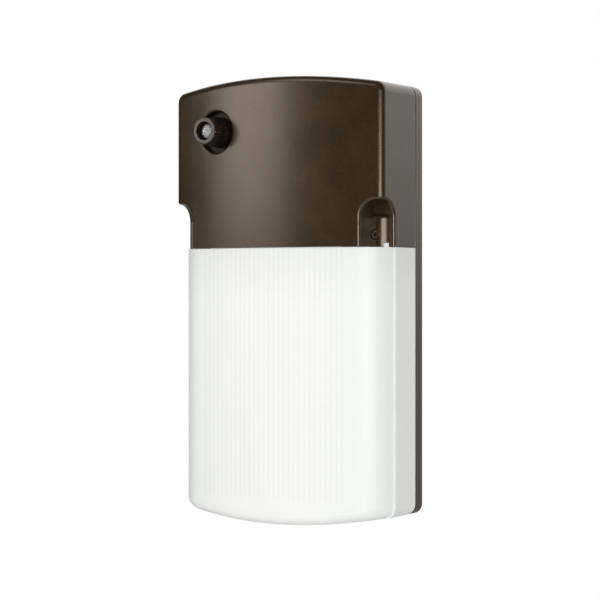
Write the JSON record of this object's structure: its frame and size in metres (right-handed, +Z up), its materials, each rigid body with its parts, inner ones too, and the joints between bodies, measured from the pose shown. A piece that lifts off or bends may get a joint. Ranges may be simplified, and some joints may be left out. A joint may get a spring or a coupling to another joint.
{
  "type": "wall pack light",
  "caption": "Outdoor wall pack light with a bow-fronted cast cover, an opal lens below it and a light sensor, on a shallow housing with lamp, ballast and reflector.",
  "frame": {"origin": "on the wall face, at the middle of the housing's width and height", "axes": "+X to the right seen from the front, +Y into the wall, +Z up"},
  "size_m": [0.165, 0.075, 0.3],
  "materials": {
    "bronze_paint": "semi-gloss dark bronze powder coat with a fine orange-peel surface",
    "seal_rubber": "matt black silicone",
    "white_enamel": "gloss white enamel on bent sheet",
    "zinc_steel": "zinc plated",
    "cover_screw_steel": "stainless steel",
    "nylon": "natural nylon",
    "ballast_case": "dark moulded case",
    "terminal_plastic": "ivory moulding",
    "holder_plastic": "white heat resistant moulding",
    "lamp_lead_sheath": "blue lead insulation",
    "connector_plastic": "orange twist-on connectors",
    "black_sheath": "black lead insulation",
    "white_sheath": "white lead insulation",
    "red_sheath": "red lead insulation",
    "green_sheath": "green lead insulation",
    "tinned_brass": "tinned brass",
    "green_screw": "green dyed earth screw",
    "connector_white": "white nylon connector",
    "sensor_plastic": "black moulding",
    "collar_plastic": "black brown knurled moulding",
    "window_clear": "clear domed window",
    "cell_ceramic": "light cell with a snaking track",
    "opal_lens": "opal white moulded lens, ribbed inside",
    "lamp_glass": "white phosphor coated glass"
  },
  "bodies": {
    "housing": {"back_housing": "bronze_paint", "housing_gasket": "seal_rubber", "reflector": "white_enamel", "reflector_screws": "zinc_steel", "ballast": "ballast_case", "ballast_terminals": "terminal_plastic", "ballast_screws": "zinc_steel", "lamp_holder": "holder_plastic", "holder_screws": "zinc_steel", "lamp_leads": "lamp_lead_sheath", "wire_connectors": "connector_plastic", "black_lead": "black_sheath", "white_leads": "white_sheath", "red_lead": "red_sheath", "green_lead": "green_sheath", "earth_ring": "tinned_brass", "earth_screw": "green_screw", "sensor_socket": "connector_white"},
    "front": {"front_cover": "bronze_paint", "lens": "opal_lens", "lens_screws": "zinc_steel", "sensor_body": "sensor_plastic", "sensor_collar": "collar_plastic", "sensor_gasket": "seal_rubber", "sensor_window": "window_clear", "sensor_cell": "cell_ceramic", "sensor_leads": "black_sheath", "sensor_plug": "connector_white"},
    "screw_left": {"cover_screw_left": "cover_screw_steel", "screw_retainer_left": "nylon"},
    "screw_right": {"cover_screw_right": "cover_screw_steel", "screw_retainer_right": "nylon"},
    "lamp": {"lamp_base": "holder_plastic", "lamp_contacts": "tinned_brass", "lamp_tubes": "lamp_glass"}
  },
  "joints": [
    {"name": "front_lift_off", "type": "slide", "parent": "housing", "child": "front", "axis": [0, -1, 0], "range_m": [0, 0.1]},
    {"name": "screw_left_out", "type": "slide", "parent": "front", "child": "screw_left", "axis": [0, -1, 0], "range_m": [0, 0.008]},
    {"name": "screw_right_out", "type": "slide", "parent": "front", "child": "screw_right", "axis": [0, -1, 0], "range_m": [0, 0.008]},
    {"name": "lamp_pull_out", "type": "slide", "parent": "housing", "child": "lamp", "axis": [0, 0, -1], "range_m": [0, 0.024]}
  ]
}
